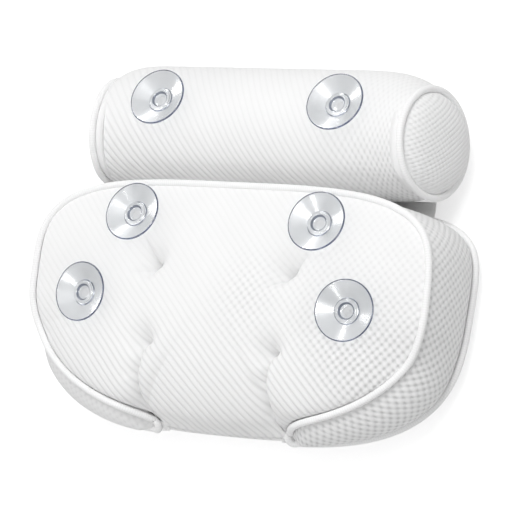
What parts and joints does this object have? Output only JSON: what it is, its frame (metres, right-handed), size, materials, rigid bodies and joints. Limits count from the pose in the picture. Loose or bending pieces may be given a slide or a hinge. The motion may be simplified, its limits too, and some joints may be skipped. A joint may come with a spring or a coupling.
{
  "type": "bath pillow",
  "caption": "Tufted mesh bath pillow with a piped gusset, a separate neck roll on a fabric hinge and clear suction cups on its back.",
  "frame": {"origin": "on the surface that the pillow lies on, under the middle of the whole pillow, with its front face down", "axes": "+X to the right as seen from the cup side, +Y from the cushion to the neck roll, +Z out of the back panel, where the cups are"},
  "size_m": [0.4204, 0.3476, 0.1268],
  "materials": {
    "air_mesh": "white three-dimensional air mesh",
    "piping_cloth": "white corded piping",
    "web_cloth": "plain woven cloth",
    "fibre_fill": "loose polyester fibre",
    "thread": "twisted polyester thread",
    "clear_vinyl": "clear soft vinyl",
    "washer_plastic": "white moulded plastic"
  },
  "bodies": {
    "cushion": {"cushion_back_panel": "air_mesh", "cushion_front_panel": "air_mesh", "cushion_gusset": "air_mesh", "cushion_piping": "piping_cloth", "cushion_fill": "fibre_fill", "tuft_thread_upper_left": "thread", "tuft_thread_upper_right": "thread", "tuft_thread_lower_left": "thread", "tuft_thread_lower_right": "thread", "hinge_web": "web_cloth", "cup_washer_top_left": "washer_plastic", "cup_washer_top_right": "washer_plastic", "cup_washer_low_left": "washer_plastic", "cup_washer_low_right": "washer_plastic"},
    "roll": {"roll_cover": "air_mesh", "roll_end_left": "air_mesh", "roll_end_right": "air_mesh", "roll_piping_left": "piping_cloth", "roll_piping_right": "piping_cloth", "roll_fill": "fibre_fill", "cup_washer_roll_left": "washer_plastic", "cup_washer_roll_right": "washer_plastic"},
    "cup_top_left": {"suction_cup_top_left": "clear_vinyl"},
    "cup_top_right": {"suction_cup_top_right": "clear_vinyl"},
    "cup_low_left": {"suction_cup_low_left": "clear_vinyl"},
    "cup_low_right": {"suction_cup_low_right": "clear_vinyl"},
    "cup_roll_left": {"suction_cup_roll_left": "clear_vinyl"},
    "cup_roll_right": {"suction_cup_roll_right": "clear_vinyl"}
  },
  "joints": [
    {"name": "roll_fold", "type": "hinge", "parent": "cushion", "child": "roll", "pos_m": [0, 0.06414, 0.02313], "axis": [1, 0, 0], "range_deg": [-75, 3]},
    {"name": "cup_top_left_spin", "type": "hinge", "parent": "cushion", "child": "cup_top_left", "pos_m": [-0.0956, 0.01486, 0.11183], "axis": [-0.0161, 0.0861, 0.9962], "continuous": true},
    {"name": "cup_top_right_spin", "type": "hinge", "parent": "cushion", "child": "cup_top_right", "pos_m": [0.0956, 0.01486, 0.11183], "axis": [0.0161, 0.0861, 0.9962], "continuous": true},
    {"name": "cup_low_left_spin", "type": "hinge", "parent": "cushion", "child": "cup_low_left", "pos_m": [-0.1359, -0.06044, 0.10964], "axis": [-0.0898, -0.102, 0.9907], "continuous": true},
    {"name": "cup_low_right_spin", "type": "hinge", "parent": "cushion", "child": "cup_low_right", "pos_m": [0.1359, -0.06044, 0.10964], "axis": [0.0898, -0.102, 0.9907], "continuous": true},
    {"name": "cup_roll_left_spin", "type": "hinge", "parent": "roll", "child": "cup_roll_left", "pos_m": [-0.0927, 0.12401, 0.11131], "axis": [0, 0.1478, 0.989], "continuous": true},
    {"name": "cup_roll_right_spin", "type": "hinge", "parent": "roll", "child": "cup_roll_right", "pos_m": [0.0927, 0.12401, 0.11131], "axis": [0, 0.1478, 0.989], "continuous": true}
  ]
}
